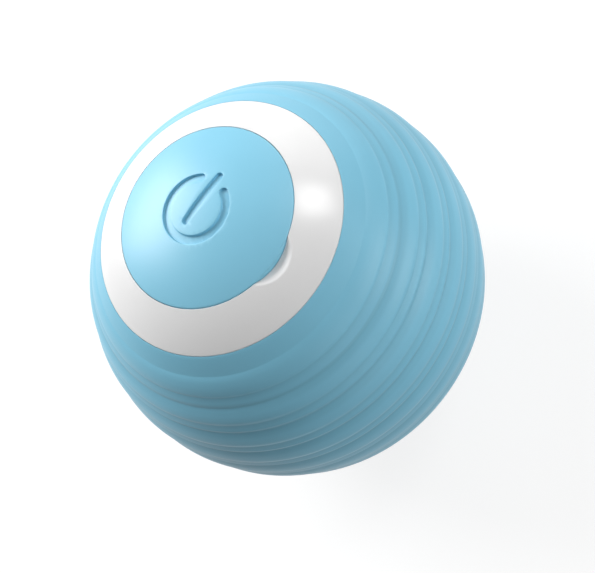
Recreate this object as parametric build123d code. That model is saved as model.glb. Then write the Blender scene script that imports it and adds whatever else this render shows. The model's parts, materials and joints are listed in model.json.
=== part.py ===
from build123d import *
import math
import os

# Self rolling cat ball, in millimetres. The origin is the ball's centre, and +Z points out of the power cap.
# +Y is the way the bar of the power sign points, and +X points at the nail notch beside the cap.

# The ball
ball_radius = 21.5
shell_wall = 1.9
wall_facets = 24
seam_gap = 0.12
seat_gap = 0.05
run_gap = 0.03
press_gap = 0.01
overrun = 1.0

# The tread: waves round the ball, each a long ramp up to a crest and a short land down to the next valley
smooth_band_angle = 5.68
tread_pitch_angle = 9.5
ramp_angle = 6.3
tread_waves = 10
front_waves = 5
valley_depth = 0.22
first_valley_share = 0.45

# The power cap and its sunken sign
cap_share = 0.434
cap_rim_width = 1.3
cap_rim_height = 1.5
cap_wall = 1.1
sign_radius = 3.16
sign_width = 0.85
sign_depth = 0.55
sign_gap_angle = 29.0
bar_width = 0.78
bar_outer = 3.78
bar_inner = 1.45
peg_thickness = 0.8
peg_width = 2.0
peg_reach = 0.9

# The light ring round the cap, with its nail notch
ring_width_share = 0.179
ring_edge_height = 1.9
notch_radius = 4.0
notch_half_width = 3.12
notch_inset = 1.6

# The key plate under the cap, whose hooks hold it in the light ring
plate_thickness = 1.2
hook_width = 3.4
hook_wall = 0.7
hook_reach = 0.7
hook_height = 0.75
hook_clearance = 0.2
post_width = 2.2
post_wall = 0.8

# The charging socket
usb_width = 8.94
usb_depth = 3.26
usb_height = 6.5
usb_corner = 1.4
usb_wall = 0.3
usb_recess = 0.8
usb_offset = 3.2
usb_window_gap = 0.22
tongue_base_height = 1.6
tongue_width = 6.7
tongue_depth = 0.7
tongue_recess = 0.9

# The press switch
switch_side = 4.5
switch_height = 3.3
switch_offset = 4.2
switch_well = 1.2
plunger_side = 2.0
plunger_height = 1.5
plunger_sunk = 0.7

# The main board and what it carries
board_margin = 0.1
board_thickness = 1.0
led_count = 6
led_length = 2.0
led_width = 1.25
led_height = 0.8
sensor_radius = 1.3
sensor_height = 3.2
sensor_offset = 7.2
sensor_angle = 28.0
chip_side = 3.0
chip_height = 0.75
chip_spread = 9.0

# The ribs inside the shells, which carry the ring, the board and the chassis
rib_count = 3
rib_width = 2.0
rib_bite = 0.6
rib_lip = 0.9
rib_root = 0.4
rib_waist_depth = 3.6
rib_depth_share = 0.1302
tongue_clearance = 0.4

# The chassis
chassis_margin = 2.4
deck_share = 0.1163
deck_thickness = 1.2
bearing_wall = 1.2
bearing_height = 2.0
holder_wall = 0.8
holder_height = 3.2
cradle_width = 6.4

# The gears
gear_distance_share = 0.4186
addendum_share = 0.8
dedendum_share = 1.1
backlash = 0.05
pressure_angle = 20.0
pinion_teeth = 8
output_teeth = 28
gear_width = 1.4
gear_gap = 0.3

# The motor
motor_radius_share = 0.2326
motor_flat_share = 0.82
motor_cap_height = 1.2
motor_boss_radius = 1.6
motor_boss_height = 0.9
motor_shaft_radius = 0.5
motor_shaft_seat = 2.0

# The battery
battery_length_share = 0.837
battery_thickness_share = 0.251
battery_offset_share = 0.163
battery_round = 1.0
foam_thickness = 0.5

# The solder tabs from the motor and the battery to the main board
tab_width = 1.2
tab_thickness = 0.2
tab_spread = 2.0
battery_tab_rise = 0.82
motor_tab_rise = 1.17

# The swinging weight on its shaft
shaft_radius = 1.0
weight_height_share = 0.2605
weight_radius_share = 0.6326
weight_gap = 0.5
weight_hub_radius = 2.6
foot_wall = 1.5
foot_depth = 3.0


def height_on(sphere_radius, radius):
    """Height of a sphere about the origin, at a distance from the Z axis."""
    return math.sqrt(sphere_radius**2 - radius**2)


def point_at(distance, angle):
    """A point of the XY plane, by distance and angle in degrees from the origin."""
    return Vector(distance * math.cos(math.radians(angle)), distance * math.sin(math.radians(angle)), 0)


# Levels and reaches that follow from the sizes above, from the cap down
inner_radius = ball_radius - shell_wall
cap_radius = cap_share * ball_radius
well_radius = cap_radius + seam_gap
ring_radius = well_radius + ring_width_share * ball_radius
opening_radius = ring_radius + seam_gap
shoulder_angle = math.degrees(math.asin(opening_radius / ball_radius))
tread_start_angle = shoulder_angle + smooth_band_angle
cap_rim_bottom = height_on(ball_radius, cap_radius) - cap_rim_height
plate_top = cap_rim_bottom - seat_gap
plate_bottom = plate_top - plate_thickness
ring_bottom = height_on(ball_radius, ring_radius) - ring_edge_height
usb_mouth = plate_top - usb_recess
board_top = usb_mouth - usb_height
board_bottom = board_top - board_thickness
board_radius = ring_radius - board_margin
switch_top = board_top + switch_height
plunger_bottom = switch_top - plunger_sunk
plunger_top = plunger_bottom + plunger_height
front_end_angle = tread_start_angle + front_waves * tread_pitch_angle
split_height = (ball_radius - valley_depth) * math.cos(math.radians(front_end_angle))
deck_top = -deck_share * ball_radius
deck_bottom = deck_top - deck_thickness
gear_top = deck_bottom - gear_gap
rib_bottom = deck_bottom - rib_depth_share * ball_radius
weight_top = rib_bottom - weight_gap
weight_bottom = weight_top - weight_height_share * ball_radius
foot_top = weight_bottom - weight_gap
shaft_bottom = foot_top - foot_depth
shaft_top = deck_top + bearing_height
weight_radius = weight_radius_share * ball_radius
chassis_radius = inner_radius - chassis_margin
rib_waist = inner_radius - rib_waist_depth
gear_distance = gear_distance_share * ball_radius
module = 2 * gear_distance / (pinion_teeth + output_teeth)
motor_radius = motor_radius_share * ball_radius
motor_flat = motor_flat_share * motor_radius
motor_bottom = deck_top + seat_gap
motor_cap_top = board_bottom - motor_tab_rise
motor_top = motor_cap_top - motor_cap_height
motor_place = Vector(0, gear_distance, 0)
battery_length = battery_length_share * ball_radius
battery_thickness = battery_thickness_share * ball_radius
battery_bottom = deck_top + foam_thickness
battery_top = board_bottom - battery_tab_rise
battery_place = Vector(0, -battery_offset_share * ball_radius - battery_thickness / 2, 0)
switch_place = Vector(0, switch_offset, 0)
usb_place = Vector(0, -usb_offset, 0)

rib_angles = [30 + 360 / rib_count * n for n in range(rib_count)]
hook_angles = [angle + 180 for angle in rib_angles]
led_angles = [360 / led_count * n for n in range(led_count)]
# The cavity's wall is drawn through these angles from the cap's pole
wall_angles = [40, 57, 74, 92, 111, 130, 147, 160]


# Helpers
def polar(radius, angle):
    """A point of the XZ plane, by distance from the centre and angle in degrees from the cap's pole."""
    return Vector(radius * math.sin(math.radians(angle)), 0, radius * math.cos(math.radians(angle)))


def ball(radius):
    """A whole ball about the origin, whose own poles and seam lie far from both ends of the Z axis."""
    return Rot(90, 0, 0) * Rot(0, 90, 0) * Sphere(radius)


def turned(*points):
    """A solid of revolution about Z, from the corners of its half section in the XZ plane."""
    return revolve(make_face(Polyline(*points, close=True)), Axis.Z)


def tube(radius, bottom, top, bore=None):
    """An upright cylinder or tube between two heights."""
    solid = extrude(Plane.XY.offset(bottom) * Circle(radius), top - bottom)
    if bore is not None:
        solid -= extrude(Plane.XY.offset(bottom - overrun) * Circle(bore), top - bottom + 2 * overrun)
    return solid


def block(width, depth, bottom, top, corner=None):
    """An upright block between two heights, with round upright corners if asked."""
    outline = Rectangle(width, depth) if corner is None else RectangleRounded(width, depth, corner)
    return extrude(Plane.XY.offset(bottom) * outline, top - bottom)


def bar(near, far, width, bottom, top):
    """A block on the X axis, from one distance from the Z axis to another."""
    return Pos((near + far) / 2, 0, 0) * block(far - near, width, bottom, top)


def around(angles, solid):
    """Copies of a solid turned about Z to each angle."""
    return [Rot(0, 0, angle) * solid for angle in angles]


# The shells
def tread(first, last):
    """Corners of the tread's waves: a valley and a crest for each, and the valley where the last one ends."""
    points = []
    for wave in range(first, last):
        valley_angle = tread_start_angle + wave * tread_pitch_angle
        depth = valley_depth * (first_valley_share if wave == 0 else 1)
        points.append(polar(ball_radius - depth, valley_angle))
        points.append(polar(ball_radius, valley_angle + ramp_angle))
    points.append(polar(ball_radius - valley_depth, tread_start_angle + last * tread_pitch_angle))
    return points


def cavity():
    """The space inside both shells, closed by flat facets."""
    corner_share = 1 / math.cos(math.pi / wall_facets)
    turn = 360 / wall_facets
    rings = []
    for angle in wall_angles:
        corner = polar(inner_radius, angle)
        spokes = [point_at(corner.X * corner_share, turn * n) for n in range(wall_facets)]
        rings.append([Vector(spoke.X, spoke.Y, corner.Z) for spoke in spokes])
    faces = [Face(Wire.make_polygon(ring)) for ring in (rings[0], rings[-1])]
    for upper, lower in zip(rings, rings[1:]):
        for n in range(wall_facets):
            corners = [upper[n - 1], upper[n], lower[n], lower[n - 1]]
            faces.append(Face(Wire.make_polygon(corners)))
    return Part(Solid(Shell(faces)).wrapped)


def front_shell():
    """The shell on the cap's side, with the opening for the light ring and the ribs for what is inside."""
    shoulder = polar(ball_radius, shoulder_angle)
    foot = Vector(0, 0, split_height)
    shell = turned(Vector(0, 0, shoulder.Z), shoulder, *tread(0, front_waves), foot) - cavity()
    shell -= tube(opening_radius, ring_bottom - ring_edge_height, ball_radius)
    rib_reach = board_radius - rib_bite
    neck = bar(rib_reach, ball_radius, rib_width, board_bottom - rib_lip, ring_bottom - seat_gap)
    web = bar(rib_waist, ball_radius, rib_width, split_height, board_bottom)
    rib = (neck + web) & ball(inner_radius + rib_root)
    rib -= tube(board_radius + seat_gap, board_bottom - seat_gap, board_top + seat_gap)
    tongue_reach = height_on(inner_radius, deck_top) - tongue_clearance
    rib += bar(rib_waist, tongue_reach, rib_width, deck_top + seat_gap, split_height)
    for copy in around(rib_angles, rib):
        shell += copy
    return shell


def chassis_plate(radius, bottom, top):
    """The six sided outline of the chassis, with a corner at each rib."""
    return extrude(Plane.XY.offset(bottom) * RegularPolygon(radius, 6, rotation=30), top - bottom)


def rear_shell():
    """The plain end of the ball, with the pockets for the chassis and the lower bearing of the shaft."""
    waves = tread(front_waves, tread_waves)
    pole_top = waves[-1].Z
    shell = turned(Vector(0, 0, split_height), *waves, Vector(0, 0, pole_top))
    clear_width = 2 * (ball_radius + overrun)
    shell += ball(ball_radius) & block(clear_width, clear_width, -ball_radius - overrun, pole_top)
    shell -= cavity()
    rib = bar(chassis_radius - rib_width, ball_radius, rib_width, rib_bottom, deck_top)
    rib &= ball(inner_radius + rib_root)
    for copy in around(rib_angles, rib):
        shell += copy
    shell -= chassis_plate(chassis_radius + seat_gap, deck_bottom - seat_gap, deck_top + overrun)
    shell += tube(shaft_radius + run_gap + foot_wall, -inner_radius, foot_top)
    return shell - tube(shaft_radius + run_gap, shaft_bottom - seat_gap, foot_top + overrun)


# The light ring, the cap and the key plate
def light_ring():
    """The milky ring that the lamps shine through. The cap and the key plate slide in its bore."""
    ring = tube(ring_radius, ring_bottom, ball_radius, well_radius) & ball(ball_radius)
    reach = height_on(ball_radius, notch_half_width) + height_on(notch_radius, notch_half_width)
    centre = polar(reach, math.degrees(math.asin((cap_radius - notch_inset) / ball_radius)))
    return ring - Pos(centre) * ball(notch_radius)


def power_sign():
    """Outline of the sunken power sign: an open ring, and a bar that runs through its gap."""
    ring_path = CenterArc((0, 0), sign_radius, 90 + sign_gap_angle, 360 - 2 * sign_gap_angle)
    slot = SlotCenterToCenter(bar_outer + bar_inner, bar_width, rotation=90)
    return SlotArc(ring_path, sign_width) + Pos(0, (bar_outer - bar_inner) / 2) * slot


def power_cap():
    """The lid over the charging socket, which is also the power key."""
    pocket_radius = cap_radius - cap_rim_width
    roof = height_on(ball_radius, pocket_radius) - cap_wall
    cap = tube(cap_radius, cap_rim_bottom, ball_radius) & ball(ball_radius)
    cap -= tube(pocket_radius, cap_rim_bottom - overrun, roof)
    sign = extrude(Plane.XY.offset(roof) * power_sign(), ball_radius)
    cap -= sign - ball(ball_radius - sign_depth)
    peg = peg_bar(0, plate_top - peg_reach, cap_rim_bottom + seam_gap)
    for copy in around(rib_angles, peg):
        cap += copy
    return cap


def peg_bar(gap, bottom, top):
    """One of the cap's pegs, or with a gap round it the hole that it clips into."""
    middle = cap_radius - cap_rim_width / 2
    half = peg_thickness / 2 + gap
    return bar(middle - half, middle + half, peg_width + 2 * gap, bottom, top)


def key_plate():
    """The plate that the cap clips on to. It slides in the ring's bore and works the press switch."""
    plate = tube(cap_radius, plate_bottom, plate_top)
    window = block(
        usb_width + 2 * usb_window_gap,
        usb_depth + 2 * usb_window_gap,
        plate_bottom - overrun,
        plate_top + overrun,
        usb_corner + usb_window_gap,
    )
    plate -= Pos(usb_place) * window
    for hole in around(rib_angles, peg_bar(run_gap, plate_bottom - overrun, plate_top + overrun)):
        plate -= hole
    leg_far = cap_radius - hook_clearance
    leg_near = leg_far - hook_wall
    toe_top = ring_bottom - seat_gap
    hook = bar(leg_near, leg_far, hook_width, toe_top - hook_height, plate_bottom)
    hook += bar(leg_near, well_radius + hook_reach, hook_width, toe_top - hook_height, toe_top)
    for copy in around(hook_angles, hook):
        plate += copy
    post = block(post_width, post_wall, plunger_top + seat_gap, plate_bottom)
    post += Rot(0, 0, 90) * post
    return plate + Pos(switch_place) * post


# The charging socket and the switch
def usb_shell():
    """The steel mouth of the charging socket."""
    outer = block(usb_width, usb_depth, board_top, usb_mouth, usb_corner)
    inner_width = usb_width - 2 * usb_wall
    inner_depth = usb_depth - 2 * usb_wall
    inner = block(inner_width, inner_depth, board_top - overrun, usb_mouth + overrun, usb_corner - usb_wall)
    return Pos(usb_place) * (outer - inner)


def usb_tongue():
    """The plastic core of the charging socket: the base in the shell's foot, and the contact tongue."""
    skin = usb_wall + press_gap
    base_top = board_top + tongue_base_height
    base = block(usb_width - 2 * skin, usb_depth - 2 * skin, board_top, base_top, usb_corner - skin)
    tongue = block(tongue_width, tongue_depth, base_top, usb_mouth - tongue_recess)
    return Pos(usb_place) * (base + tongue)


def press_switch():
    well_side = plunger_side + 2 * run_gap
    body = block(switch_side, switch_side, board_top, switch_top)
    body -= block(well_side, well_side, switch_top - switch_well, switch_top + overrun)
    return Pos(switch_place) * body


def switch_plunger():
    return Pos(switch_place) * block(plunger_side, plunger_side, plunger_bottom, plunger_top)


# The main board
def main_board():
    return tube(board_radius, board_bottom, board_top)


def ring_leds():
    """The lamps under the middle of the light ring."""
    middle = (well_radius + ring_radius) / 2
    led = bar(middle - led_length / 2, middle + led_length / 2, led_width, board_top, board_top + led_height)
    return around(led_angles, led)


def board_chips():
    """The charge chip, the controller and the motor's driver, on the board's underside."""
    chip_bottom = board_bottom - chip_height
    controller = Pos(-chip_spread, 0, 0) * block(chip_side, chip_side, chip_bottom, board_bottom)
    charger = Pos(chip_spread, 0, 0) * block(chip_side / 2, chip_side, chip_bottom, board_bottom)
    driver = block(chip_side, chip_side / 2, chip_bottom, board_bottom)
    return [controller, charger, driver]


def motion_sensor():
    """The rattle can that wakes the ball when it is touched."""
    can = tube(sensor_radius, board_top, board_top + sensor_height)
    return Pos(point_at(sensor_offset, sensor_angle)) * can


# The chassis
def chassis():
    """The drive's frame: a deck with the shaft's bearing, the motor's cradle and the battery's tray."""
    frame = chassis_plate(chassis_radius, deck_bottom, deck_top)
    frame += tube(shaft_radius + run_gap + bearing_wall, deck_top, shaft_top)
    holder_top = deck_top + holder_height
    near = motor_radius + seat_gap
    cradle = tube(near + holder_wall, deck_top, holder_top, near)
    cradle &= block(cradle_width, 3 * motor_radius, deck_top, holder_top)
    frame += Pos(motor_place) * cradle
    tray_width = battery_length + 2 * seat_gap
    tray_depth = battery_thickness + 2 * seat_gap
    tray = block(tray_width + 2 * holder_wall, tray_depth + 2 * holder_wall, deck_top, holder_top)
    tray -= block(tray_width, tray_depth, deck_top - overrun, holder_top + overrun)
    frame += Pos(battery_place) * tray
    frame -= tube(shaft_radius + run_gap, deck_bottom - overrun, shaft_top + overrun)
    return frame - Pos(motor_place) * tube(motor_boss_radius + press_gap, deck_bottom - overrun, motor_top)


# The gears
def involute(angle):
    return math.tan(angle) - angle


def gear_outline(teeth, phase):
    """Outline of a spur gear about the origin, with one tooth's middle at the angle phase, in degrees."""
    pitch = module * teeth / 2
    base = pitch * math.cos(math.radians(pressure_angle))
    root = pitch - dedendum_share * module
    tip = pitch + addendum_share * module
    half_at_pitch = (math.pi * module / 2 - backlash) / 2 / pitch
    corners = []
    for radius in (root, tip):
        lean = math.acos(min(1, base / radius))
        half = half_at_pitch + involute(math.radians(pressure_angle)) - involute(lean)
        corners.append((radius, half))
    points = []
    for tooth in range(teeth):
        middle = math.radians(phase) + 2 * math.pi * tooth / teeth
        rising = [(radius, middle - half) for radius, half in corners]
        falling = [(radius, middle + half) for radius, half in reversed(corners)]
        for radius, angle in rising + falling:
            points.append((radius * math.cos(angle), radius * math.sin(angle)))
    return make_face(Polyline(*points, close=True))


def gear(teeth, phase, bore):
    wheel = extrude(Plane.XY.offset(gear_top - gear_width) * gear_outline(teeth, phase), gear_width)
    return wheel - tube(bore, gear_top - gear_width - overrun, gear_top + overrun)


def output_gear():
    """The large gear on the shaft."""
    return gear(output_teeth, 0, shaft_radius + press_gap)


def motor_pinion():
    """The motor's gear. A gap between its teeth faces the large gear's tooth on the Y axis."""
    facing_tooth = 360 / output_teeth * round(90 / (360 / output_teeth))
    lead = (90 - facing_tooth) * output_teeth / pinion_teeth
    phase = 270 + 180 / pinion_teeth + lead
    return Pos(motor_place) * gear(pinion_teeth, phase, motor_shaft_radius + press_gap)


# The motor
def motor_can():
    """The steel can with its two flats, and the boss that centres it in the deck."""
    can = tube(motor_radius, motor_bottom, motor_top)
    can &= block(2 * motor_flat, 3 * motor_radius, motor_bottom, motor_top)
    boss_bottom = motor_bottom - motor_boss_height
    can += tube(motor_boss_radius, boss_bottom, motor_bottom)
    can -= tube(motor_shaft_radius + run_gap, boss_bottom - overrun, boss_bottom + motor_shaft_seat)
    return Pos(motor_place) * can


def motor_end_cap():
    """The plastic end of the motor."""
    inset = 2 * seat_gap
    end = tube(motor_radius - inset, motor_top, motor_cap_top)
    end &= block(2 * (motor_flat - inset), 3 * motor_radius, motor_top, motor_cap_top)
    return Pos(motor_place) * end


def motor_shaft():
    top = motor_bottom - motor_boss_height + motor_shaft_seat - seat_gap
    return Pos(motor_place) * tube(motor_shaft_radius, gear_top - gear_width, top)


# The battery
def battery_cell():
    cell = block(battery_length, battery_thickness, battery_bottom, battery_top, battery_round)
    return Pos(battery_place) * cell


def battery_foam():
    width = battery_length - 2 * battery_round
    return Pos(battery_place) * block(width, battery_thickness - 2 * battery_round, deck_top, battery_bottom)


# The solder tabs
def tabs(place, bottom):
    """A pair of flat tabs from a terminal up to the main board."""
    tab = block(tab_width, tab_thickness, bottom, board_bottom)
    return [Pos(place) * Pos(side * tab_spread, 0, 0) * tab for side in (-1, 1)]


def battery_tabs():
    return tabs(battery_place, battery_top)


def motor_tabs():
    return tabs(motor_place, motor_cap_top)


# The shaft and the weight
def output_shaft():
    return tube(shaft_radius, shaft_bottom, shaft_top)


def swing_weight():
    """The half round steel weight, with a hub that is pressed on to the shaft and reaches up to the gear."""
    weight = tube(weight_radius, weight_bottom, weight_top)
    weight &= Pos(0, -ball_radius / 2, 0) * block(2 * ball_radius, ball_radius, weight_bottom, weight_top)
    hub_top = gear_top - gear_width - seat_gap
    weight += tube(weight_hub_radius, weight_bottom, hub_top)
    return weight - tube(shaft_radius + press_gap, weight_bottom - overrun, hub_top + overrun)


# Every node, with the function that makes it
nodes = {
    "front_shell": front_shell,
    "rear_shell": rear_shell,
    "light_ring": light_ring,
    "power_cap": power_cap,
    "key_plate": key_plate,
    "usb_shell": usb_shell,
    "usb_tongue": usb_tongue,
    "press_switch": press_switch,
    "switch_plunger": switch_plunger,
    "main_board": main_board,
    "ring_leds": ring_leds,
    "board_chips": board_chips,
    "motion_sensor": motion_sensor,
    "chassis": chassis,
    "output_gear": output_gear,
    "motor_pinion": motor_pinion,
    "motor_can": motor_can,
    "motor_end_cap": motor_end_cap,
    "motor_shaft": motor_shaft,
    "battery_cell": battery_cell,
    "battery_foam": battery_foam,
    "battery_tabs": battery_tabs,
    "motor_tabs": motor_tabs,
    "output_shaft": output_shaft,
    "swing_weight": swing_weight,
}

os.makedirs("parts", exist_ok=True)
for name, make in nodes.items():
    made = make()
    if isinstance(made, list):
        made = Compound(children=made)
    export_step(made, f"parts/{name}.step")
    print(name, round(made.volume, 1))
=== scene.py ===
# %% [markdown]
# # A self rolling cat ball
# The construction model already holds every piece of this toy at its real size, from the shells to the gears.
# Here it gets its looks: crisp ridges, soft edges, a sunken sign, and the finish of each plastic and metal.
# The model is loaded as a fixed frame. Nothing in it is moved, so whatever is added has to fit it.

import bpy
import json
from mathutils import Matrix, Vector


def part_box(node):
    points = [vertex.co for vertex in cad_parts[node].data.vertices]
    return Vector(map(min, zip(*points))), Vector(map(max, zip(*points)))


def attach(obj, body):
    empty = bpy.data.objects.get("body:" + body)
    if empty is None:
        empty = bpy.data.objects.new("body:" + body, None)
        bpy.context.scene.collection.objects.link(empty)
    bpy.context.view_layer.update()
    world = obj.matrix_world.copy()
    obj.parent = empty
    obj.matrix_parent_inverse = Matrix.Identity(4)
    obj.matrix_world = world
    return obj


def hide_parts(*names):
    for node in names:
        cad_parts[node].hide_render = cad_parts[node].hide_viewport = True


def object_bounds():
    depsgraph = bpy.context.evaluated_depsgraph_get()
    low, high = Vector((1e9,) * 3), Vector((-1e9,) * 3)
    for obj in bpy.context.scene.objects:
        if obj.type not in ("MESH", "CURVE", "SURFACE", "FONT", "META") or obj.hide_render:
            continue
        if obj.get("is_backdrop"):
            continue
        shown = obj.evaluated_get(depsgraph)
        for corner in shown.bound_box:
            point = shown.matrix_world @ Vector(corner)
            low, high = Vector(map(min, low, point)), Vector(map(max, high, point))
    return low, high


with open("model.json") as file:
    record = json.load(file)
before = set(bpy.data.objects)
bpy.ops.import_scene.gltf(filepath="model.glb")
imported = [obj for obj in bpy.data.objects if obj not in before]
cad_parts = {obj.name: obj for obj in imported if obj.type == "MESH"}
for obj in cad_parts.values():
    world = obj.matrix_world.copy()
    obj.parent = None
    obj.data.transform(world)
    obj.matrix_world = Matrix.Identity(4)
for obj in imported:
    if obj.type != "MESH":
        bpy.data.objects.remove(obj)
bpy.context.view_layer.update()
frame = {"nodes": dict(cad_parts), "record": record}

# %% Blender's own modules
import json
import math

import bmesh
import bpy
from bmesh.types import BMEdge, BMFace, BMVert
from mathutils import Matrix, Vector

print("Blender", bpy.app.version_string)

# %% [markdown]
# ## Sizes
# Everything is in metres, with the origin at the ball's centre and the Z axis out of the middle of the cap.
# The main sizes could be typed in again, but they are read from the construction model, so that the two can't
# drift apart. Only what that model leaves plain gets a size of its own here, where it is first needed, such as
# how round an edge is.

# %% Sizes read from the construction model
MM = 0.001
ball_radius = -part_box("rear_shell")[0].z
seam_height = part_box("rear_shell")[1].z
cap_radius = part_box("power_cap")[1].x
ring_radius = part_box("light_ring")[1].y
ring_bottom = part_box("light_ring")[0].z
plate_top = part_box("key_plate")[1].z
board_low, board_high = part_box("main_board")
chassis_low, chassis_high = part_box("chassis")
print("ball radius", round(ball_radius / MM, 2), "mm, ring", round(ring_radius / MM, 2), "mm")

# %% [markdown]
# ## Drawing an outline and turning it
# Almost every outside piece of this ball is round about one axis, like work from a lathe. Ready made spheres
# could be cut to size, but their rows of faces would not follow the ridges.
# So each piece is drawn as half a section in the XZ plane, and then spun once about the Z axis.
# Four small helpers do that. A line goes on from the last point, an arc is that point spun about a centre, and
# a bow is an arc to a given point. The lathe spins the finished outline. That leaves double points on the axis,
# which are merged.

# %% Helpers for points of a sphere
def on_ball(radius, angle):
    """A point of the XZ plane, by distance from the ball's centre and degrees from the cap's pole."""
    turn = math.radians(angle)
    return Vector((radius * math.sin(turn), 0, radius * math.cos(turn)))


def height_on(radius, reach):
    """Height of a sphere about the origin, at a distance from the Z axis."""
    return math.sqrt(radius**2 - reach**2)


def angle_at(radius, reach):
    """The degrees from the cap's pole at which a sphere reaches out that far from the Z axis."""
    return math.degrees(math.asin(reach / radius))


def angle_at_height(radius, height):
    """The degrees from the cap's pole at which a sphere is at that height."""
    return math.degrees(math.acos(height / radius))


print("the cap's edge lies", round(angle_at(ball_radius, cap_radius), 1), "degrees from its pole")


# %% Helpers that draw an outline
def only(kind, parts):
    """The vertices, edges or faces among a list of all three."""
    return [part for part in parts if isinstance(part, kind)]


def line_to(bm, pen, *points):
    """Draws on from the vertex pen through the points and returns the last vertex."""
    for point in points:
        new = bm.verts.new(point)
        bm.edges.new((pen, new))
        pen = new
    return pen


def arc_to(bm, pen, degrees, steps, centre=(0, 0, 0), axis=(0, 1, 0)):
    """Spins the vertex pen about a centre, so that it leaves an arc, and returns the last vertex."""
    turn = math.radians(degrees)
    made = bmesh.ops.spin(bm, geom=[pen], cent=centre, axis=axis, angle=turn, steps=steps)
    return only(BMVert, made["geom_last"])[0]


def bow_to(bm, pen, end, bow, steps):
    """Draws an arc from the vertex pen to a point. It bows outwards by a distance, or inwards if negative."""
    start = pen.co.copy()
    chord = end - start
    outward = Vector((-chord.z, 0, chord.x)).normalized()
    radius = (chord.length_squared / 4 + bow**2) / (2 * bow)
    centre = (start + end) / 2 - outward * (radius - bow)
    sweep = math.degrees(4 * math.atan(2 * bow / chord.length))
    pen = arc_to(bm, pen, sweep, steps, centre)
    pen.co = end
    return pen


# %% Helpers for turning and for soft edges
merge_distance = 0.0001 * MM
turning_steps = 256
sharp_corner = 30


def lathe(bm, steps):
    """Turns the drawn outline once round the Z axis."""
    outline = bm.verts[:] + bm.edges[:]
    bmesh.ops.spin(
        bm, geom=outline, cent=(0, 0, 0), axis=(0, 0, 1), angle=2 * math.pi, steps=steps, use_merge=True
    )
    bmesh.ops.remove_doubles(bm, verts=bm.verts, dist=merge_distance)


def soften(bm, width, sharper_than, segments=3):
    """Rounds every edge where two faces meet at more than an angle in degrees."""
    sharp = []
    for edge in bm.edges:
        if len(edge.link_faces) == 2 and edge.calc_face_angle(0) > math.radians(sharper_than):
            sharp.append(edge)
    bmesh.ops.bevel(
        bm, geom=sharp, offset=width, offset_type="OFFSET", segments=segments, profile=0.5,
        affect="EDGES", material=-1, clamp_overlap=True,
    )
    print("rounded", len(sharp), "edges by", round(width / MM, 2), "mm")


print("one turn of the lathe has", turning_steps, "steps")

# %% A helper that makes the finished piece
shading_corner = 40


def make_piece(name, bm, body, slot, *nodes):
    """Turns the bmesh into an object that rides on a body and stands for nodes of the construction model."""
    bmesh.ops.recalc_face_normals(bm, faces=bm.faces)
    mesh = bpy.data.meshes.new(name)
    bm.to_mesh(mesh)
    bm.free()
    mesh.shade_smooth()
    mesh.set_sharp_from_angle(angle=math.radians(shading_corner))
    piece = bpy.data.objects.new(name, mesh)
    bpy.context.scene.collection.objects.link(piece)
    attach(piece, body)
    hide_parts(*nodes)
    print(name, "has", sum(len(face.vertices) - 2 for face in mesh.polygons), "triangles")
    return piece


# %% [markdown]
# ## The tread
# The shell looks as if it were wound with a band, which gives paws and floor something to grip. Each wave starts
# in a groove and climbs in a long round back to its crest. It falls over a step on to a narrow land, and from
# there down a wall into the next groove.
# A bump map could fake that, but the waves also show on the ball's outline, so they are real here.
# One list says how a wave goes. Each of its entries is the end of a stretch: degrees past the wave's start,
# depth below the ball's outline in millimetres and, where the stretch is round, how far it bows.
# The first wave has a list of its own, since it swells straight out of the smooth band.

# %% Sizes of the tread
tread_start_angle = 44.3
tread_pitch_angle = 9.5
tread_waves = 10
front_waves = 5
wall_foot = (0.65, 0.24)
groove_floor = (1.0, 0.25)
crest = (5.4, 0.0, 0.07)
shoulder = (6.1, 0.02, 0.004)
step_foot = (7.0, 0.13)
land = (9.2, 0.078, 0.006)
wave_shape = [wall_foot, groove_floor, crest, shoulder, step_foot, land]
swelling = (2.7, 0.0, 0.033)
first_shoulder = (6.1, 0.09, 0.044)
first_step_foot = (6.8, 0.21)
first_land = (9.2, 0.185, 0.008)
first_wave_shape = [swelling, first_shoulder, first_step_foot, first_land]
bow_steps = 6
tread_end_angle = tread_start_angle + tread_waves * tread_pitch_angle
print("the tread runs from", tread_start_angle, "to", tread_end_angle, "degrees in", tread_waves, "waves")


# %% One wave of the tread
def on_wave(number, angle, depth):
    """A point of a wave, by degrees past the wave's start and depth in millimetres."""
    return on_ball(ball_radius - depth * MM, tread_start_angle + number * tread_pitch_angle + angle)


def wave(bm, pen, number, shape):
    """Draws the stretches of one wave from the vertex pen, and returns the last vertex."""
    for angle, depth, *bow in shape:
        end = on_wave(number, angle, depth)
        pen = bow_to(bm, pen, end, bow[0] * MM, bow_steps) if bow else line_to(bm, pen, end)
    return pen


wall_width = (on_wave(1, *wall_foot) - on_wave(0, *land[:2])).length
print("a wall is", round(wall_width / MM, 2), "mm wide, from land to groove")

# %% [markdown]
# ## The front shell
# The blue shell on the cap's side. Its opening closes on the milky ring with a seam as thin as a hair.
# The outline runs from the opening over the smooth band and five waves to the seam, and back along the inside.
# It could be one skin with a Solidify modifier, but then the inside would copy the ridges. A moulded shell is
# plain there, so the inside is drawn as an arc of its own.
# Three ribs hold the ring, the board and the drive. They are blocks whose far ends stop in the wall.

# %% Sizes of the front shell
shell_wall = 1.9 * MM
inner_radius = ball_radius - shell_wall
inside_steps = 24
hair_gap = 0.03 * MM
band_depth = 0.1
band_bow = 0.03
seam_depth = 0.13
tread_rounding = 0.06 * MM
tread_corner = 9
seam_radius = ball_radius - seam_depth * MM
seam = on_ball(seam_radius, angle_at_height(seam_radius, seam_height))
seam_inside_angle = angle_at_height(inner_radius, seam_height)
print("the shells meet", round(-seam.z / MM, 2), "mm behind the middle")

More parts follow.
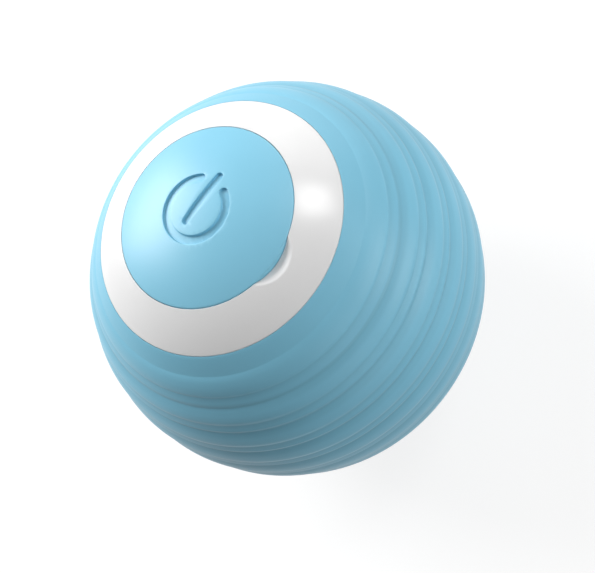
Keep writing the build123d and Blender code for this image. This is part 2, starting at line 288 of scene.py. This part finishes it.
# %% Turn the front shell
bm = bmesh.new()
opening = ring_radius + hair_gap
first = bm.verts.new(on_ball(ball_radius, angle_at(ball_radius, opening)))
pen = bow_to(bm, first, on_wave(0, 0, band_depth), band_bow * MM, bow_steps)
pen = wave(bm, pen, 0, first_wave_shape)
for number in range(1, front_waves):
    pen = wave(bm, pen, number, wave_shape)
pen = line_to(bm, pen, seam, on_ball(inner_radius, seam_inside_angle))
pen = arc_to(bm, pen, angle_at(inner_radius, opening) - seam_inside_angle, inside_steps)
bm.edges.new((pen, first))
print("points of the outline:", len(bm.verts))
lathe(bm, turning_steps)
soften(bm, tread_rounding, tread_corner)

# %% Helpers for blocks and ribs
rib_turns = [30, 150, 270]
rib_width = 2.0 * MM
seat_gap = 0.05 * MM


def add_block(bm, low, high, turn=0):
    """Adds a block between two corners, turned about the Z axis by an angle in degrees."""
    middle, size = (low + high) / 2, high - low
    turned = Matrix.Rotation(math.radians(turn), 4, "Z")
    place = turned @ Matrix.Translation(middle) @ Matrix.Diagonal((*size, 1))
    return bmesh.ops.create_cube(bm, size=1, matrix=place)["verts"]


def add_rib(bm, turn, near, bottom, top):
    """Adds a rib that reaches from near the axis into the shell's wall and stops inside it."""
    low, high = Vector((near, -rib_width / 2, bottom)), Vector((ball_radius, rib_width / 2, top))
    corners = add_block(bm, low, high)
    in_wall = inner_radius + shell_wall / 4
    for corner in corners:
        corner.co.x = min(corner.co.x, height_on(in_wall, math.hypot(corner.co.y, corner.co.z)))
    turned = Matrix.Rotation(math.radians(turn), 3, "Z")
    bmesh.ops.rotate(bm, verts=corners, cent=(0, 0, 0), matrix=turned)


print("ribs stand at", rib_turns, "degrees")

# %% Ribs of the front shell
rib_bite = 0.6 * MM
rib_lip = 0.9 * MM
rib_foot_start = 16.0 * MM
neck = board_high.x - rib_bite
lip_bottom = board_low.z - rib_lip
for turn in rib_turns:
    add_rib(bm, turn, neck, board_high.z + seat_gap, ring_bottom - seat_gap)
    add_rib(bm, turn, board_high.x + seat_gap, board_low.z - seat_gap, board_high.z + seat_gap)
    add_rib(bm, turn, neck, lip_bottom, board_low.z - seat_gap)
    add_rib(bm, turn, rib_foot_start, seam_height, lip_bottom)
front_shell = make_piece("front_shell_skin", bm, "ball", "shell_blue", "front_shell")

# %% [markdown]
# ## The rear shell
# The other half carries on with five more waves and ends in a smooth pole, opposite the cap.
# It could be the front half mirrored, but the waves all climb the same way and it has no opening. So it is turned
# by the same helpers from the same point of the seam, and the two meet on a wall of the tread, which hides it.
# In the middle of the inside stands the foot that the shaft turns in.

# %% Sizes of the rear shell
pole_wall_angle = 1.5
pole_angle = tread_end_angle + pole_wall_angle
foot_radius = 2.53 * MM
foot_bore = 1.03 * MM
weight_gap = 0.5 * MM
foot_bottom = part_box("output_shaft")[0].z - seat_gap
foot_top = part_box("swing_weight")[0].z - weight_gap
foot_angle = 180 - angle_at(inner_radius, foot_radius)
print("the shaft's foot is", round((foot_top - foot_bottom) / MM, 2), "mm deep")

# %% Turn the rear shell
bm = bmesh.new()
first = bm.verts.new(seam)
pen = first
for number in range(front_waves, tread_waves):
    pen = wave(bm, pen, number, wave_shape)
pen = line_to(bm, pen, on_wave(tread_waves, *wall_foot), on_ball(ball_radius, pole_angle))
arc_to(bm, pen, 180 - pole_angle, inside_steps)
pen = bm.verts.new((0, 0, foot_bottom))
pen = line_to(bm, pen, (foot_bore, 0, foot_bottom), (foot_bore, 0, foot_top), (foot_radius, 0, foot_top))
pen = line_to(bm, pen, on_ball(inner_radius, foot_angle))
pen = arc_to(bm, pen, seam_inside_angle - foot_angle, inside_steps)
bm.edges.new((pen, first))
print("points of the outline:", len(bm.verts))
lathe(bm, turning_steps)
soften(bm, tread_rounding, tread_corner)

# %% Ribs of the rear shell
rear_rib_height = 2.8 * MM
deck_bottom = chassis_low.z
for turn in rib_turns:
    add_rib(bm, turn, chassis_high.y - rib_width, deck_bottom - rear_rib_height, deck_bottom - seat_gap)
rear_shell = make_piece("rear_shell_skin", bm, "ball", "shell_blue", "rear_shell")

# %% [markdown]
# ## The milky ring
# The lamps inside shine through this ring. It lies flush between cap and shell, with edges only just broken.
# Beside the cap a scoop for a fingernail is cut into it, so that the cap can be lifted.
# A Boolean would leave a ragged edge on a turned mesh. Instead the points inside the cutting sphere are let
# down on to it, straight down, which keeps the ring's own rows of faces and gives the scoop a clean rim.

# %% Sizes of the ring
cap_gap = 0.05 * MM
well_radius = cap_radius + cap_gap
ring_rounding = 0.05 * MM
ring_steps = 720
ring_face_steps = 48
notch_radius = 7.5 * MM
notch_half_width = 3.12 * MM
notch_inset = 1.6 * MM
scoop_merge = 0.001 * MM
print("the ring is", round((ring_radius - well_radius) / MM, 2), "mm wide")

# %% Turn the ring
bm = bmesh.new()
ring_start = angle_at(ball_radius, well_radius)
ring_end = angle_at(ball_radius, ring_radius)
first = bm.verts.new(on_ball(ball_radius, ring_start))
pen = arc_to(bm, first, ring_end - ring_start, ring_face_steps)
pen = line_to(bm, pen, (ring_radius, 0, ring_bottom), (well_radius, 0, ring_bottom))
bm.edges.new((pen, first))
lathe(bm, ring_steps)
soften(bm, ring_rounding, sharp_corner, segments=4)

# %% Scoop out the notch
notch_reach = height_on(ball_radius, notch_half_width) + height_on(notch_radius, notch_half_width)
notch_centre = on_ball(notch_reach, angle_at(ball_radius, cap_radius - notch_inset))
lowered = 0
for vert in bm.verts:
    away = (vert.co.xy - notch_centre.xy).length
    if away < notch_radius:
        scoop_height = notch_centre.z - height_on(notch_radius, away)
        if vert.co.z > scoop_height:
            vert.co.z = scoop_height
            lowered += 1
bmesh.ops.remove_doubles(bm, verts=bm.verts, dist=scoop_merge)
print("points in the scoop:", lowered)
light_ring = make_piece("light_ring_skin", bm, "ball", "milky_white", "light_ring")

# %% [markdown]
# ## The power cap and its sign
# The cap is a shallow dome with a sunken power sign: an open ring, and a bar through its gap.
# A picture of the sign or a bump could stand in for it, but the grooves catch the light along their walls, so
# they are part of the mesh.
# First the dome is turned with a round hole in the middle. The two outlines of the sign are drawn in that hole,
# the space between is filled with triangles, and planes cut the fill into small faces.
# Then each outline is extruded step by step, over a soft lip, down the wall, and round a fillet to the floor.
# Each step only needs to know how far a point is from the middle of its stroke.

# %% Turn the dome
cap_rounding = 0.1 * MM
cap_rim_width = 1.3 * MM
cap_wall = 1.1 * MM
dome_steps = 22
sign_field = 4.8 * MM
cap_bottom = plate_top + seat_gap
pocket_radius = cap_radius - cap_rim_width
roof = height_on(ball_radius, pocket_radius) - cap_wall
bm = bmesh.new()
field_angle = angle_at(ball_radius, sign_field)
pen = bm.verts.new(on_ball(ball_radius, field_angle))
pen = arc_to(bm, pen, angle_at(ball_radius, cap_radius) - field_angle, dome_steps)
pen = line_to(bm, pen, (cap_radius, 0, cap_bottom), (pocket_radius, 0, cap_bottom))
pen = line_to(bm, pen, (pocket_radius, 0, roof), (0, 0, roof))
lathe(bm, turning_steps)
soften(bm, cap_rounding, sharp_corner, segments=5)
outline_edges = [edge for edge in bm.edges if edge.is_boundary]
print("edges round the hole for the sign:", len(outline_edges))

# %% Sizes of the sign
sign_radius = 3.16 * MM
sign_half_width = 0.425 * MM
sign_gap_angle = 29
sign_depth = 0.3 * MM
bar_half_width = 0.39 * MM
bar_ends = [Vector((0, -1.45 * MM)), Vector((0, 3.78 * MM))]
lip_radius = 0.07 * MM
fillet_radius = 0.09 * MM
outer_steps = 120
inner_steps = 100
end_steps = 14
print("the sign is", round(2 * (sign_radius + sign_half_width) / MM, 2), "mm across")


# %% Draw the outlines of the sign
def draw_open_ring(bm, half_width):
    """Draws the outline of the sign's open ring, flat at height zero."""
    up = (0, 0, 1)
    start, sweep = 90 + sign_gap_angle, 360 - 2 * sign_gap_angle
    ends = []
    for angle in (start, start + sweep):
        ends.append(Matrix.Rotation(math.radians(angle), 3, "Z") @ Vector((sign_radius, 0, 0)))
    pen = bm.verts.new(ends[0] + ends[0].normalized() * half_width)
    pen = arc_to(bm, pen, sweep, outer_steps, axis=up)
    pen = arc_to(bm, pen, 180, end_steps, ends[1], up)
    pen = arc_to(bm, pen, -sweep, inner_steps, axis=up)
    arc_to(bm, pen, 180, end_steps, ends[0], up)


def draw_bar(bm, half_width):
    """Draws the outline of the sign's bar, flat at height zero."""
    up = (0, 0, 1)
    low, high = (Vector((*end, 0)) for end in bar_ends)
    side = Vector((half_width, 0, 0))
    pen = bm.verts.new(low + side)
    pen = line_to(bm, pen, high + side)
    pen = arc_to(bm, pen, 180, end_steps, high, up)
    pen = line_to(bm, pen, low - side)
    arc_to(bm, pen, 180, end_steps, low, up)


for draw, half_width in ((draw_open_ring, sign_half_width), (draw_bar, bar_half_width)):
    before = set(bm.verts)
    draw(bm, half_width + lip_radius)
    drawn = [vert for vert in bm.verts if vert not in before]
    bmesh.ops.remove_doubles(bm, verts=drawn, dist=merge_distance)
outline_edges += [edge for edge in bm.edges if edge.is_wire]
print("edges round the hole and the sign:", len(outline_edges))

# %% Fill the space round the sign
fill_spacing = 0.45 * MM
cut_distance = 0.00001 * MM


def fill_between(bm, edges, radius):
    """Fills flat outlines with small faces and lifts them on to a sphere of that radius."""
    made = bmesh.ops.triangle_fill(bm, use_beauty=True, edges=edges, normal=(0, 0, 1))["geom"]
    faces = only(BMFace, made)
    reach = max(abs(vert.co[axis]) for face in faces for vert in face.verts for axis in (0, 1))
    cuts = int(reach / fill_spacing)
    for axis in (Vector((1, 0, 0)), Vector((0, 1, 0))):
        for number in range(-cuts, cuts + 1):
            parts = set(faces) | {e for f in faces for e in f.edges} | {v for f in faces for v in f.verts}
            place = axis * number * fill_spacing
            cut = bmesh.ops.bisect_plane(
                bm, geom=list(parts), dist=cut_distance, plane_co=place, plane_no=axis
            )
            faces = only(BMFace, cut["geom"])
    for vert in {v for f in faces for v in f.verts}:
        vert.co.z = height_on(radius, math.hypot(vert.co.x, vert.co.y))
    return len(faces)


print("faces round the sign:", fill_between(bm, outline_edges, ball_radius))


# %% Helpers for the strokes
def middle_of_ring(point):
    """The nearest point on the middle line of the sign's open ring."""
    turn = math.degrees(math.atan2(point.y, point.x)) - 90
    off_gap = (turn + 180) % 360 - 180
    if abs(off_gap) < sign_gap_angle:
        turn = math.copysign(sign_gap_angle, off_gap)
    turn = math.radians(turn + 90)
    return Vector((sign_radius * math.cos(turn), sign_radius * math.sin(turn)))


def middle_of_bar(point):
    """The nearest point on the middle line of the sign's bar."""
    return Vector((0, min(max(point.y, bar_ends[0].y), bar_ends[1].y)))


def groove_steps():
    """Pairs of a distance past the stroke's side and a depth, over the lip, down the wall and to the floor."""
    leans = [math.radians(turn) for turn in (30, 60, 90)]
    steps = [(lip_radius * (1 - math.sin(lean)), lip_radius * (1 - math.cos(lean))) for lean in leans]
    fillet_top = sign_depth - fillet_radius
    steps.append((0, fillet_top))
    for lean in leans:
        steps.append((fillet_radius * (math.cos(lean) - 1), fillet_top + fillet_radius * math.sin(lean)))
    return steps


print("a groove goes down in", len(groove_steps()), "steps")

# %% Extrude the grooves
for middle_of, half_width in ((middle_of_ring, sign_half_width), (middle_of_bar, bar_half_width)):
    near = half_width + 2 * lip_radius
    rim = []
    for edge in bm.edges:
        if edge.is_boundary and all((v.co.xy - middle_of(v.co)).length < near for v in edge.verts):
            rim.append(edge)
    for past, depth in groove_steps():
        made = bmesh.ops.extrude_edge_only(bm, edges=rim)["geom"]
        rim = only(BMEdge, made)
        for vert in only(BMVert, made):
            middle = middle_of(vert.co)
            flat = middle + (vert.co.xy - middle).normalized() * (half_width + past)
            vert.co = Vector((*flat, height_on(ball_radius - depth, flat.length)))
    rim = [edge for edge in rim if edge.is_boundary]
    print("faces on a groove's floor:", fill_between(bm, rim, ball_radius - sign_depth))

# %% [markdown]
# ### The pegs of the cap
# Three pegs under the rim clip the cap into the plate below. They only show when the cap is lifted off, so plain
# blocks do, sunk a little into the rim.

# %% Pegs of the cap
peg_width = 2.0 * MM
peg_thickness = 0.8 * MM
peg_reach = 0.9 * MM
peg_root = 0.12 * MM
peg_middle = cap_radius - cap_rim_width / 2
for turn in rib_turns:
    low = Vector((peg_middle - peg_thickness / 2, -peg_width / 2, plate_top - peg_reach))
    high = Vector((peg_middle + peg_thickness / 2, peg_width / 2, cap_bottom + peg_root))
    add_block(bm, low, high, turn)
power_cap = make_piece("power_cap_skin", bm, "lid", "cap_blue", "power_cap")

# %% [markdown]
# ## Finishes
# Each finish is a small tree of nodes. Colour, roughness and bump all read the object's own coordinates, in
# metres, so the grain keeps its real size and stays put when a piece moves.
# One flat colour would be the shortest way, but a moulded plastic never has it: pigment varies a little over
# centimetres, the mould's fine texture breaks up the shine, and the gloss changes from place to place.

# %% Helpers that build a finish
gloss_spread = 0.07


def noise_of(tree, vector, size, detail):
    """Adds a noise pattern to a tree of nodes, with lumps of a size in millimetres."""
    noise = tree.nodes.new("ShaderNodeTexNoise")
    noise.inputs["Scale"].default_value = 1 / (size * MM)
    noise.inputs["Detail"].default_value = detail
    tree.links.new(vector, noise.inputs["Vector"])
    return noise.outputs["Fac"]


def finish_of(
    name, colour, roughness, metallic=0.0, grain=0.25, grain_depth=0.002, mottle=0.04, patch=6.0, streak=1.0
):
    """A finish with mottled colour, uneven gloss and a fine bump. Lengths are in millimetres."""
    material = bpy.data.materials.new(name)
    material.use_nodes = True
    nodes, links = material.node_tree.nodes, material.node_tree.links
    shader = nodes["Principled BSDF"]
    shader.inputs["Metallic"].default_value = metallic
    place = nodes.new("ShaderNodeTexCoord")
    stretch = nodes.new("ShaderNodeMapping")
    stretch.inputs["Scale"].default_value = (1, 1, streak)
    links.new(place.outputs["Object"], stretch.inputs["Vector"])
    patches = noise_of(material.node_tree, stretch.outputs["Vector"], patch, detail=3)
    grains = noise_of(material.node_tree, stretch.outputs["Vector"], grain, detail=2)
    tones = nodes.new("ShaderNodeMix")
    tones.data_type = "RGBA"
    tones.inputs["A"].default_value = (*[value * (1 - mottle) for value in colour], 1)
    tones.inputs["B"].default_value = (*[min(1, value * (1 + mottle)) for value in colour], 1)
    links.new(patches, tones.inputs["Factor"])
    links.new(tones.outputs["Result"], shader.inputs["Base Color"])
    gloss = nodes.new("ShaderNodeMapRange")
    gloss.inputs["To Min"].default_value = roughness * (1 - gloss_spread)
    gloss.inputs["To Max"].default_value = roughness * (1 + gloss_spread)
    links.new(patches, gloss.inputs["Value"])
    links.new(gloss.outputs["Result"], shader.inputs["Roughness"])
    bump = nodes.new("ShaderNodeBump")
    bump.inputs["Strength"].default_value = 1
    bump.inputs["Distance"].default_value = grain_depth * MM
    links.new(grains, bump.inputs["Height"])
    links.new(bump.outputs["Normal"], shader.inputs["Normal"])
    return material


def dress(piece, material):
    """Gives a piece or a node one finish all over."""
    if not piece.material_slots:
        piece.data.materials.append(material)
    for place in piece.material_slots:
        place.material = material


print("gloss varies by", round(100 * gloss_spread), "percent")

# %% [markdown]
# ### The blue plastic
# The shell has a satin skin, so its highlights are wide and soft. The cap is the same plastic from another mould.
# The foot of each wall and each step of the tread is painted a shade darker. This is painted shade that stands in
# for the shade falling in the grooves. That could be painted on the vertices, but the shade would be as coarse as
# the faces.
# Instead the angle from the cap's pole is worked out from the object's own coordinates and folded into one
# wave, and a colour ramp gives the shade along that wave.

# %% Helpers for the painted shade of the grooves
def sum_of(tree, operation, first, second):
    """Adds a sum of two values to a tree of nodes. The first is a node's output, the second that or a number."""
    node = tree.nodes.new("ShaderNodeMath")
    node.operation = operation
    tree.links.new(first, node.inputs[0])
    if isinstance(second, float):
        node.inputs[1].default_value = second
    else:
        tree.links.new(second, node.inputs[1])
    return node.outputs["Value"]


def paint_groove_shade(material, shades):
    """Paints shade into a finish along the tread, by pairs of degrees past a wave's start and brightness."""
    tree = material.node_tree
    colour = tree.nodes["Principled BSDF"].inputs["Base Color"]
    plain = colour.links[0].from_socket
    place = tree.nodes.new("ShaderNodeTexCoord").outputs["Object"]
    flat = tree.nodes.new("ShaderNodeVectorMath")
    flat.operation = "MULTIPLY"
    flat.inputs[1].default_value = (1, 1, 0)
    tree.links.new(place, flat.inputs[0])
    reach = tree.nodes.new("ShaderNodeVectorMath")
    reach.operation = "LENGTH"
    tree.links.new(flat.outputs["Vector"], reach.inputs[0])
    height = tree.nodes.new("ShaderNodeSeparateXYZ")
    tree.links.new(place, height.inputs["Vector"])
    pitch = math.radians(tread_pitch_angle)
    first_crest = math.radians(tread_start_angle + crest[0])
    angle = sum_of(tree, "ARCTAN2", reach.outputs["Value"], height.outputs["Z"])
    angle = sum_of(tree, "MINIMUM", angle, first_crest + tread_waves * pitch)
    past_crest = sum_of(tree, "MODULO", sum_of(tree, "SUBTRACT", angle, first_crest), pitch)
    ramp = tree.nodes.new("ShaderNodeValToRGB")
    ramp.color_ramp.interpolation = "EASE"
    tree.links.new(sum_of(tree, "DIVIDE", past_crest, pitch), ramp.inputs["Fac"])
    stops = ramp.color_ramp.elements
    stops.remove(stops[1])
    stops[0].color = (1, 1, 1, 1)
    for degrees, brightness in shades:
        stop = stops.new((degrees - crest[0]) % tread_pitch_angle / tread_pitch_angle)
        stop.color = (brightness, brightness, brightness, 1)
    # painted shade: the ramp is multiplied into the base colour
    darker = tree.nodes.new("ShaderNodeMix")
    darker.data_type = "RGBA"
    darker.blend_type = "MULTIPLY"
    darker.inputs["Factor"].default_value = 1
    tree.links.new(plain, darker.inputs["A"])
    tree.links.new(ramp.outputs["Color"], darker.inputs["B"])
    tree.links.new(darker.outputs["Result"], colour)


# painted shade: brightness of the colour along one wave, darker at the foot of each wall and step
painted_groove_shades = [(0.7, 0.84), (2.0, 0.92), (3.8, 1.0), (6.3, 1.0), (7.0, 0.9), (8.6, 0.965), (9.3, 0.97)]
print("each wave is shaded at", len(painted_groove_shades), "places")

# %% Blue finishes
blue = (0.212, 0.535, 0.705)
shell_blue = finish_of("satin_blue_shell", blue, 0.38, grain=0.2, grain_depth=0.0015)
shell_blue.node_tree.nodes["Principled BSDF"].inputs["Specular IOR Level"].default_value = 0.3
# painted shade in the grooves and below the steps of the tread
paint_groove_shade(shell_blue, painted_groove_shades)
cap_blue = finish_of("satin_blue_cap", blue, 0.4, grain=0.2, grain_depth=0.0012)
print("finishes:", shell_blue.name, cap_blue.name)

# %% [markdown]
# ### The milky ring
# The ring is polished, and the light of the lamps spreads in it. A plain white would look like paint, so it gets
# a little scattering under its surface and a smooth coat, which carries the clear reflection of the softbox.

# %% Milky white
scatter_depth = 0.6 * MM
milky_white = finish_of("milky_white", (0.79, 0.79, 0.79), 0.3, grain=0.5, grain_depth=0.0006, mottle=0.01)
milky = milky_white.node_tree.nodes["Principled BSDF"]
milky.inputs["Subsurface Weight"].default_value = 0.25
milky.inputs["Subsurface Radius"].default_value = (1.0, 1.0, 1.0)
milky.inputs["Subsurface Scale"].default_value = scatter_depth
milky.inputs["Coat Weight"].default_value = 0.5
milky.inputs["Coat Roughness"].default_value = 0.2
print("light spreads in the ring over", round(scatter_depth / MM, 2), "mm")

# %% Dress the outside
outside = {
    "front_shell": (front_shell, shell_blue),
    "rear_shell": (rear_shell, shell_blue),
    "power_cap": (power_cap, cap_blue),
    "light_ring": (light_ring, milky_white),
}
for name, (piece, material) in outside.items():
    dress(piece, material)
    dress(frame["nodes"][name], material)
print("dressed outside:", len(outside))

# %% [markdown]
# ### The plastics and metals inside
# Most of these pieces only show when the cap is off or the shells are opened. Their shapes are right in the
# construction model, so they are kept and only get a finish. They could be modelled again with softer edges,
# but nobody would see it. Steel, brass and the gilded can are streaked along the Z axis, as drawn metal is, by
# stretching the pattern along that axis.

# %% Inside finishes
inside = {
    "white_plastic": finish_of("white_plastic", (0.78, 0.78, 0.76), 0.5, grain=0.3),
    "black_plastic": finish_of("black_plastic", (0.025, 0.025, 0.027), 0.5, grain=0.15),
    "board_green": finish_of("board_lacquer", (0.02, 0.16, 0.07), 0.35, mottle=0.15, patch=1.5),
    "lamp_white": finish_of("lamp_resin", (0.8, 0.76, 0.5), 0.25, grain=0.4),
    "gold_can": finish_of("gold_plate", (0.8, 0.6, 0.28), 0.25, 1.0, streak=0.2),
    "gear_nylon": finish_of("gear_nylon", (0.8, 0.78, 0.7), 0.45, grain=0.25),
    "brass": finish_of("cut_brass", (0.75, 0.56, 0.25), 0.3, 1.0, streak=0.15),
    "steel": finish_of("plated_steel", (0.6, 0.61, 0.62), 0.28, 1.0, streak=0.12, grain_depth=0.001),
    "foil": finish_of("battery_foil", (0.7, 0.71, 0.72), 0.35, 1.0, grain=1.2, grain_depth=0.02),
    "foam_grey": finish_of("foam", (0.08, 0.08, 0.085), 0.9, grain=0.3, grain_depth=0.05),
    "tab_metal": finish_of("nickel_tab", (0.68, 0.67, 0.64), 0.3, 1.0, grain_depth=0.001),
    "iron": finish_of("plated_iron", (0.3, 0.3, 0.31), 0.45, 1.0, grain=0.4, grain_depth=0.006),
}
slot_of = {part["node"]: part["material_slot"] for part in frame["record"]["subparts"]}
dressed = [name for name in frame["nodes"] if slot_of[name] in inside]
for name in dressed:
    dress(frame["nodes"][name], inside[slot_of[name]])
print("dressed inside:", len(dressed))

# %% [markdown]
# ## Camera
# A camera could be moved about by eye, but here numbers are surer. The ball's outline and the ellipses of its cap
# and ring fix the view: the camera stands six radii from the centre, and the cap's axis leans back from it and
# points to the upper left of the picture.

# %% Where the camera stands
view_distance = 6 * ball_radius
view_elevation = math.radians(59.13)
view_azimuth = math.radians(-2.5)
axis_in_picture = math.radians(142.8)
towards_camera = Vector((
    math.cos(view_elevation) * math.cos(view_azimuth),
    math.cos(view_elevation) * math.sin(view_azimuth),
    math.sin(view_elevation),
))
axis_seen = (Vector((0, 0, 1)) - towards_camera * towards_camera.z).normalized()
picture_up = Matrix.Rotation(math.pi / 2 - axis_in_picture, 3, towards_camera) @ axis_seen
picture_right = picture_up.cross(towards_camera)
print("the camera stands", round(view_distance / MM, 1), "mm from the ball's centre")

# %% Place the camera
image_width = 595
image_height = 573
focal_pixels = 1170.4
ball_in_picture = (287.26, 278.16)
lens_data = bpy.data.cameras.new("camera")
lens_data.sensor_width = 36
lens_data.lens = focal_pixels / image_width * lens_data.sensor_width
lens_data.shift_x = (image_width / 2 - ball_in_picture[0]) / image_width
lens_data.shift_y = (ball_in_picture[1] - image_height / 2) / image_width
lens_data.clip_start = ball_radius / 10
lens_data.clip_end = 10
camera = bpy.data.objects.new("camera", lens_data)
picture_axes = Matrix((picture_right, picture_up, towards_camera)).transposed().to_4x4()
camera.matrix_world = Matrix.Translation(towards_camera * view_distance) @ picture_axes
bpy.context.scene.collection.objects.link(camera)
bpy.context.scene.camera = camera
print("lens", round(lens_data.lens, 2), "mm")

# %% [markdown]
# ## Light
# A large soft lamp stands at the upper left of the picture, low enough to make the ball's left edge glow, and
# another stands above. A small softbox in front gives the clear reflection on the ring, and three more lamps
# lift the right side and the shade below.
# One bright dome would be simpler, but ridges only show where light grazes them from one side.
# Each lamp is placed by a direction in the picture: right, up and towards the camera.

# %% Lamps
lamp_distance = 0.4


def lamp(name, direction, width, height, watts):
    """A soft lamp that faces the ball, from a direction given as right, up and towards the camera."""
    right, up, near = Vector(direction).normalized()
    away = picture_right * right + picture_up * up + towards_camera * near
    across = picture_up.cross(away).normalized()
    data = bpy.data.lights.new(name, "AREA")
    data.shape = "RECTANGLE"
    data.size, data.size_y = width, height
    data.energy = watts
    made = bpy.data.objects.new(name, data)
    turned = Matrix((across, away.cross(across), away)).transposed().to_4x4()
    made.matrix_world = Matrix.Translation(away * lamp_distance) @ turned
    bpy.context.scene.collection.objects.link(made)
    print(name, "has", watts, "watts")


lamp("key_lamp", (-0.88, 0.46, 0.10), 0.26, 0.26, 2.1)
lamp("top_lamp", (0.16, 0.97, 0.02), 0.36, 0.3, 0.43)
lamp("front_softbox", (0.22, 0.66, 0.71), 0.12, 0.11, 0.34)
lamp("side_lamp", (0.86, 0.08, 0.5), 0.22, 0.22, 0.78)
lamp("right_lamp", (0.59, 0.50, 0.63), 0.2, 0.2, 0.07)
lamp("low_lamp", (0.57, -0.57, 0.59), 0.2, 0.2, 0.2)

# %% [markdown]
# ## A white studio
# The ball stands on white paper in a white room. More light on both would do that, but it would also wash out
# the ball's shaded side. So a ray that comes straight from the camera, a mirror or glass finds them white, and
# a ray that lights a surface finds a dim sky and grey paper.
# The ball rests on the paper at the pole opposite the cap, and its soft shadow stays on the paper.

# %% The sky
sky_light = 0.15


def seen_directly(tree):
    """Adds nodes that give 1 to a ray from the camera, a mirror or glass, and 0 to one that lights a surface."""
    rays = tree.nodes.new("ShaderNodeLightPath").outputs
    direct = sum_of(tree, "MAXIMUM", rays["Is Camera Ray"], rays["Is Glossy Ray"])
    return sum_of(tree, "MAXIMUM", direct, rays["Is Transmission Ray"])


world = bpy.data.worlds.new("studio")
bpy.context.scene.world = world
world.use_nodes = True
sky = world.node_tree.nodes["Background"]
sky.inputs["Color"].default_value = (1, 1, 1, 1)
sky_strength = sum_of(world.node_tree, "MAXIMUM", seen_directly(world.node_tree), sky_light)
world.node_tree.links.new(sky_strength, sky.inputs["Strength"])
bpy.context.scene.view_settings.view_transform = "Standard"
print("the sky lights the ball at", sky_light)

# %% The floor
floor_reach = 2.0
bm = bmesh.new()
floor_place = Matrix.Translation((0, 0, -ball_radius))
bmesh.ops.create_grid(bm, x_segments=1, y_segments=1, size=floor_reach, matrix=floor_place)
mesh = bpy.data.meshes.new("floor")
bm.to_mesh(mesh)
bm.free()
floor = bpy.data.objects.new("floor", mesh)
bpy.context.scene.collection.objects.link(floor)
floor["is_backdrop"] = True
print("the floor lies", round(ball_radius / MM, 2), "mm below the ball's centre")

# %% White paper
paper_grey = 0.22
paper_glow = 0.82
paper = bpy.data.materials.new("white_paper")
paper.use_nodes = True
shader = paper.node_tree.nodes["Principled BSDF"]
shader.inputs["Base Color"].default_value = (paper_grey, paper_grey, paper_grey, 1)
shader.inputs["Roughness"].default_value = 0.9
shader.inputs["Specular IOR Level"].default_value = 0.0
shader.inputs["Emission Color"].default_value = (1, 1, 1, 1)
glow = sum_of(paper.node_tree, "MULTIPLY", seen_directly(paper.node_tree), paper_glow)
paper.node_tree.links.new(glow, shader.inputs["Emission Strength"])
dress(floor, paper)
print("paper:", paper.name)

# %% [markdown]
# ## Last steps
# The size of the dressed ball is measured and printed.

# %% Measure the dressed ball
low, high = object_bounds()
print("dressed box:", [round(side, 5) for side in high - low])
